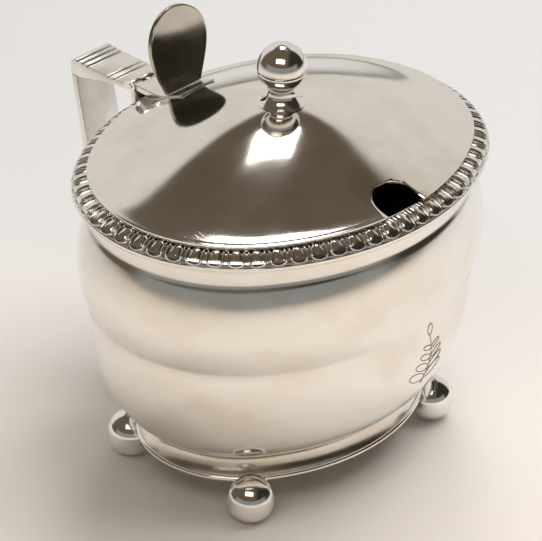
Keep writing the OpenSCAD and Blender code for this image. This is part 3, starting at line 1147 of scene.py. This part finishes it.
@dataclass
class HingeAndHandle:
    """The hinge, the thumbpiece and the strap handle.

    Attributes:
        rounding: Edge rounding of each CAD piece that keeps its shape.
        on_lid: Which of them ride on the lid.
        thumb_root: Width of the thumbpiece at its foot.
        thumb_width: Its greatest width.
        thumb_height: Its height.
        thumb_widest: Where it is widest, as a share of its height.
        thumb_thickness: Its thickness.
        thumb_lean: How far it leans back, in degrees.
        thumb_dish: How deep its face is dished.
        bar_width: Width of the handle's top bar.
        bar_z: Height of the bar's upper face.
        bar_start: Outer end of the bar's upper face, from the oval's middle.
        bar_length: Length of that face.
        groove_depth: Depth of a groove across the bar.
        groove_half: Half-width of a groove.
        grooves: Where the grooves are, from the oval's middle.
    """

    rounding: dict[str, float] = field(default_factory=lambda: {
        "hinge_upright": 0.2, "handle_leg": 0.25, "handle_pad": 0.25,
        "outer_knuckle_left": 0.12, "outer_knuckle_right": 0.12, "lid_knuckle": 0.1,
        "hinge_leaf": 0.2, "hinge_pin": 0.15})
    on_lid: tuple[str, ...] = ("lid_knuckle", "hinge_leaf")
    thumb_root: float = 9.8
    thumb_width: float = 15.8
    thumb_height: float = 18.0
    thumb_widest: float = 0.58
    thumb_thickness: float = 1.0
    thumb_lean: float = 10.0
    thumb_dish: float = 0.55
    bar_width: float = 10.0
    bar_z: float = 70.1
    bar_start: float = -56.0
    bar_length: float = 15.0
    groove_depth: float = 0.34
    groove_half: float = 0.62
    grooves: tuple[float, ...] = (-54.9, -53.4, -51.9, -45.6, -43.9)

    def bar_top(self, x: float) -> float:
        """Returns the height of the top bar's reeded upper face at a distance from the oval's middle."""
        saddle = 0.3 * math.sin(math.pi * min(max((x + 56.4) / 15.4, 0.0), 1.0)) ** 2
        shares = [min(abs(x - groove) / self.groove_half, 1.0) for groove in self.grooves]
        cut = sum(0.5 + 0.5 * math.cos(math.pi * share) for share in shares)
        return self.bar_z - 0.1 - saddle - self.groove_depth * cut

    def top_bar(self) -> None:
        """Builds the handle's top bar from its side profile, with soft reeds across it."""
        corner = [(-57.2, 66.3), (-57.2, 68.6), (-57.08, 69.15), (-56.75, 69.62), (-56.3, 69.88)]
        along = [self.bar_start + self.bar_length * step / 100 for step in range(101)]
        upper = [(x, self.bar_top(x)) for x in along]
        lower = [(-41.0, 68.75), (-44.0, 68.7), (-47.5, 67.95), (-51.0, 67.1), (-54.2, 66.3)]
        spots = [MIDDLE + Vector((x, -self.bar_width / 2, z)) for x, z in corner + upper + lower]
        bar = Bench.trace("handle_top_bar_reeded", spots, closed=True)
        bpy.ops.mesh.edge_face_add()
        bpy.ops.mesh.extrude_region_move(TRANSFORM_OT_translate={"value": (0, self.bar_width * MM, 0)})
        Bench.close(bar)
        Bench.bevel(bar, 0.14, 2, 50)
        Bench.smooth(bar, 40)
        dress(bar, HANDLE_SILVER, Body.POT, Slot.SHEET, "handle_top_bar")

    def thumb_half(self, share: float) -> float:
        """Returns the thumbpiece's half-width at a share of its height: a full taper and a round head."""
        if share < self.thumb_widest:
            swell = math.sin(math.pi / 2 * share / self.thumb_widest) ** 1.15
            return (self.thumb_root + (self.thumb_width - self.thumb_root) * swell) / 2
        round_share = (share - self.thumb_widest) / (1 - self.thumb_widest)
        return self.thumb_width / 2 * math.sqrt(max(1 - round_share ** 2, 0))

    def thumbpiece(self) -> None:
        """Builds the thumbpiece from its outline, dishes it a little and leans it back."""
        low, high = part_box("thumbpiece")
        foot = Vector((high.x - 0.6 * MM, MIDDLE.y * MM, low.z + 0.1 * MM))
        shares = [self.thumb_widest * step / 16 for step in range(16)]
        swings = [math.radians(6 * step) for step in range(15)]
        shares += [self.thumb_widest + (1 - self.thumb_widest) * math.sin(swing) for swing in swings]
        right = [(self.thumb_half(share), self.thumb_height * share) for share in shares]
        outline = right + [(0.0, self.thumb_height)] + [(-half, rise) for half, rise in reversed(right)]
        plate = Bench.trace("thumbpiece_plate", [Vector((0, half, rise)) for half, rise in outline], closed=True)
        bpy.ops.mesh.edge_face_add()
        bpy.ops.mesh.inset(thickness=0.5 * MM, depth=0)
        cuts = [((0, 0, height * MM), (0, 0, 1)) for height in range(2, 17, 2)]
        cuts += [((0, across * MM, 0), (0, 1, 0)) for across in range(-6, 7, 2)]
        for place, direction in cuts:
            bpy.ops.mesh.select_all(action="SELECT")
            bpy.ops.mesh.bisect(plane_co=place, plane_no=direction)
        bpy.ops.object.mode_set(mode="OBJECT")
        reach = self.thumb_width / 2 * MM
        for vertex in plate.data.vertices:
            share = min(max(vertex.co.z / (self.thumb_height * MM), 0.0), 1.0)
            vertex.co.x += self.thumb_dish * MM * (vertex.co.y / reach) ** 2 * math.sin(math.pi / 2 * share)
        Bench.thicken(plate, self.thumb_thickness, offset=0.0, even=False)
        lean = Matrix.Translation(foot) @ Matrix.Rotation(-math.radians(self.thumb_lean), 4, "Y")
        plate.data.transform(lean)
        Bench.close(plate)
        Bench.bevel(plate, 0.3, 3, 50)
        Bench.smooth(plate, 40)
        dress(plate, THUMB_SILVER, Body.LID, Slot.SHEET, "thumbpiece")

    def build(self) -> None:
        """Builds and dresses the hinge, thumbpiece and handle."""
        self.top_bar()
        self.thumbpiece()
        for node, width in self.rounding.items():
            piece = Bench.rounded_copy(node, node + "_rounded", width)
            body = Body.LID if node in self.on_lid else Body.POT
            finish = TRIM_SILVER if "knuckle" in node or node == "hinge_pin" else HANDLE_SILVER
            slot = Slot.TRIM if "knuckle" in node else Slot.HIDDEN if node == "hinge_pin" else Slot.SHEET
            dress(piece, finish, body, slot, node)


@dataclass
class Studio:
    """The pale floor, the lights, the surroundings and the camera.

    Attributes:
        azimuth: Direction of the camera from the pot, from +X, in degrees.
        elevation: Height of the camera above the table, in degrees.
        distance: Distance of the camera from the aimed point, in millimetres.
        focal: Focal length on a 36 mm wide sensor.
        aim_height: Height over the table of the point that the camera looks at, in millimetres.
        aim_left: How far that point is moved left in view.
        aim_up: How far it is moved up in view.
        room: What the silver mirrors of the dim room.
        dark_side: What it mirrors at the camera's right.
        front: What it mirrors low behind the camera.
        backdrop: What it mirrors low behind the pot.
    """

    azimuth: float = -45.3
    elevation: float = 31.4
    distance: float = 908.0
    focal: float = 293.0
    aim_height: float = 38.7
    aim_left: float = 2.2
    aim_up: float = 1.2
    room: Colour = (0.115, 0.09, 0.063)
    dark_side: Colour = (0.030, 0.027, 0.021)
    front: Colour = (0.25, 0.26, 0.255)
    backdrop: Colour = (0.70, 0.67, 0.62)

    def sight(self) -> tuple[Vector, Vector, Vector]:
        """Returns the directions from the pot to the camera, to its right and up."""
        turn, lift = math.radians(self.azimuth), math.radians(self.elevation)
        back = Vector((math.cos(lift) * math.cos(turn), math.cos(lift) * math.sin(turn), math.sin(lift)))
        right = Vector((-math.sin(turn), math.cos(turn), 0.0))
        return back, right, back.cross(right)

    def camera(self) -> None:
        """Sets up the camera."""
        back, right, up = self.sight()
        aim = MIDDLE + Vector((0, 0, self.aim_height)) - right * self.aim_left + up * self.aim_up
        data = bpy.data.cameras.new("camera")
        data.lens = self.focal
        data.sensor_width = 36.0
        data.sensor_fit = "HORIZONTAL"
        data.clip_start = 0.05
        data.clip_end = 50.0
        camera = Bench.linked("camera", data)
        turn = Matrix((right, up, back)).transposed()
        camera.matrix_world = Matrix.Translation((aim + back * self.distance) * MM) @ turn.to_4x4()
        bpy.context.scene.camera = camera

    @staticmethod
    def panel(name: str, direction: Vector, distance: float, size: tuple[float, float], power: float,
              colour: Colour) -> bpy.types.Object:
        """Hangs a rectangular light that faces the pot.

        Args:
            name: Name of the light.
            direction: Direction of the light from the pot.
            distance: Distance from the pot, in metres.
            size: Width and height, in metres.
            power: Power, in watts.
            colour: Colour of the light.

        Returns:
            The light.
        """
        data = bpy.data.lights.new(name, "AREA")
        data.shape = "RECTANGLE"
        data.size, data.size_y = size
        data.energy = power
        data.color = colour
        lamp = Bench.linked(name, data)
        lamp.location = MIDDLE * MM + Vector((0, 0, 0.05)) + direction.normalized() * distance
        lamp.rotation_euler = direction.to_track_quat("Z", "Y").to_euler()
        return lamp

    def lights(self) -> None:
        """Hangs a window-like panel over the back, a small lamp over the camera, and a broad wash for the table."""
        back, right, _ = self.sight()
        away, up = Vector((-back.x, -back.y, 0)).normalized(), Vector((0, 0, 1))
        self.panel("window_panel", away * 0.50 + up * 0.83 + right * 0.03, 1.1, (0.25, 0.24), 1.9, (1.0, 0.99, 0.97))
        self.panel("front_lamp", -away * 0.62 + up * 0.8 - right * 0.12, 1.2, (0.8, 0.42), 2.4, (1.0, 0.97, 0.93))
        wash = self.panel("table_wash", up + right * 0.35 + away * 0.12, 0.85, (0.7, 0.7), 5.6, (1.0, 0.985, 0.97))
        wash.visible_glossy = False

    def surroundings(self) -> None:
        """Paints what the silver mirrors: a pale backdrop low behind the pot, and a dim room round the rest."""
        world = bpy.data.worlds.new("studio")
        bpy.context.scene.world = world
        world.use_nodes = True
        tree = world.node_tree
        back, right, _ = self.sight()
        away, up = Vector((-back.x, -back.y, 0)).normalized(), Vector((0, 0, 1))
        place = tree.nodes.new("ShaderNodeTexCoord").outputs["Generated"]
        zones = (
            (self.dark_side, ((right, 0.35, 0.6),)),
            (self.front, ((-away, 0.1, 0.4), (-up, -0.36, -0.28))),
            (self.backdrop, ((away, 0.42, 0.56), (right * 0.42 - up, -0.60, -0.55))),
            (self.backdrop, ((away, 0.42, 0.56), (-right * 0.42 - up, -0.60, -0.55))),
        )
        colour = self.room
        for tint, limits in zones:
            mask = None
            for axis, low, high in limits:
                edge = remap(tree, measure_along(tree, place, axis), low, high, soft=True)
                if mask is not None:
                    both = tree.nodes.new("ShaderNodeMath")
                    both.operation = "MULTIPLY"
                    tree.links.new(mask, both.inputs[0])
                    tree.links.new(edge, both.inputs[1])
                    edge = both.outputs["Value"]
                mask = edge
            colour = mix_colours(tree, mask, colour, tint)
        tree.links.new(colour, tree.nodes["Background"].inputs["Color"])

    def floor(self) -> None:
        """Lays the pale floor, with painted light: warmer and brighter in front, cooler and dimmer behind."""
        Bench.clear()
        bpy.ops.mesh.primitive_plane_add(size=4.0, location=(0, 0, 0))
        floor = bpy.context.object
        floor.name = "studio_floor"
        material = bpy.data.materials.new("pale_paper_painted_light")
        material.use_nodes = True
        tree = material.node_tree
        shader = tree.nodes["Principled BSDF"]
        shader.inputs["Roughness"].default_value = 0.9
        back, _, _ = self.sight()
        place = tree.nodes.new("ShaderNodeTexCoord").outputs["Object"]
        # Painted light: the floor's colour is brightened and warmed towards the camera, and dimmed and cooled behind
        # the pot.
        toward_camera = measure_along(tree, place, Vector((back.x, back.y, 0)).normalized())
        mask = remap(tree, toward_camera, -0.12, 0.08)
        colour = mix_colours(tree, mask, (0.82, 0.82, 0.84), (0.96, 0.89, 0.81))
        tree.links.new(colour, shader.inputs["Base Color"])
        floor.data.materials.append(material)

    def build(self) -> None:
        """Builds the whole studio."""
        bpy.context.scene.view_settings.view_transform = "Standard"
        self.camera()
        self.lights()
        self.surroundings()
        self.floor()


def main() -> None:
    """Builds each sub-assembly in order, then the studio."""
    logging.basicConfig(level=logging.INFO, format="%(name)s: %(message)s")
    bpy.ops.object.select_all(action="DESELECT")
    bowl = Bowl()
    for assembly in (bowl, Flourish(bowl), GadroonBorder(), Foot(), Lid(), Finial(), HingeAndHandle(), Studio()):
        assembly.build()
        LOG.info("built %s", type(assembly).__name__)


if __name__ == "__main__":
    main()
